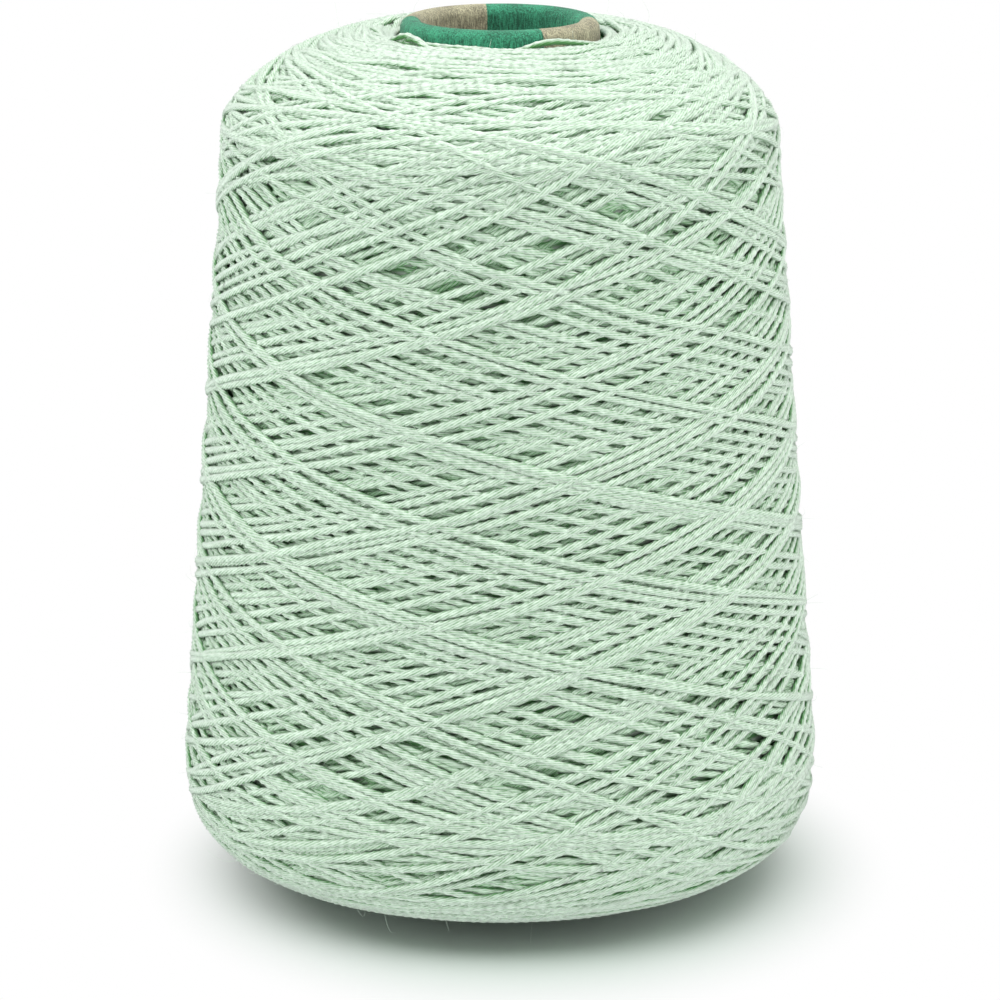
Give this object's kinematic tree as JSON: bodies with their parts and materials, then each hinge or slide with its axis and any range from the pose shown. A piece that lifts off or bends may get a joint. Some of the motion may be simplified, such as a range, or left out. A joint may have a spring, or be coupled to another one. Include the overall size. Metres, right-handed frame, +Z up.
{
  "type": "yarn cone",
  "caption": "Tapered package of cross-wound cotton yarn on a rolled-nose paper cone, hollow along its axis so that it slides over a creel peg.",
  "frame": {"origin": "centre of the ring that the cone stands on", "axes": "+Z up along the cone's axis, from its wide open base to its rolled nose; the nose's wider green stripe faces -Y"},
  "size_m": [0.125, 0.125, 0.17],
  "materials": {
    "cone_board": "matt grey-brown rolled board",
    "cone_outer_wrap": "matt paper printed in green and tan stripes, brushed to a short nap over the nose",
    "cone_inner_liner": "smooth kraft paper",
    "yarn_package": "plied mercerised cotton yarn with a soft sheen"
  },
  "bodies": {
    "root": {"cone_board": "cone_board", "cone_outer_wrap": "cone_outer_wrap", "cone_inner_liner": "cone_inner_liner", "yarn_package": "yarn_package"}
  },
  "joints": []
}
